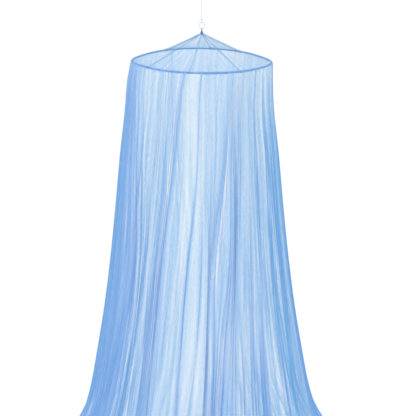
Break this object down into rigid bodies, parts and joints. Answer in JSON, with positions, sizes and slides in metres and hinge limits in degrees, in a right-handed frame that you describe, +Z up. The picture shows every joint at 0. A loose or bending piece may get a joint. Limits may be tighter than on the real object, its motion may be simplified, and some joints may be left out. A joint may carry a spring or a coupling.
{
  "type": "mosquito net canopy with hoop, hanging cord and ceiling hook",
  "caption": "Round mosquito net canopy: a gathered sheer net falls to the floor from a cloth-bound hoop with a shallow conical roof, hung by a short cord from a ceiling hook.",
  "frame": {"origin": "middle of the ceiling plate's flat top face, where the plate meets the ceiling", "axes": "+Z up out of the plate into the ceiling, so the canopy hangs towards -Z; -Y is the front, as the picture shows it; +X is to the right seen from the front"},
  "size_m": [1.3941, 1.4124, 2.2197],
  "materials": {
    "blue_net": "sheer blue polyester net, matt",
    "blue_binding": "blue woven binding and cord, matt",
    "white_cord": "white braided cord, matt",
    "clear_plastic": "clear moulded plastic, gloss",
    "white_plastic": "white plastic and white coated wire, satin"
  },
  "bodies": {
    "root": {"hung_net": "blue_net", "roof_net": "blue_net", "hoop": "blue_binding", "hoop_joiner": "blue_binding", "top_binding": "blue_binding", "tape_loop": "blue_binding", "stay_1": "blue_binding", "stay_2": "blue_binding", "stay_3": "blue_binding", "stay_4": "blue_binding", "stay_5": "blue_binding", "stay_6": "blue_binding", "hang_cord": "white_cord", "hang_ring": "clear_plastic", "ceiling_plate": "white_plastic", "ceiling_hook": "white_plastic"}
  },
  "joints": []
}
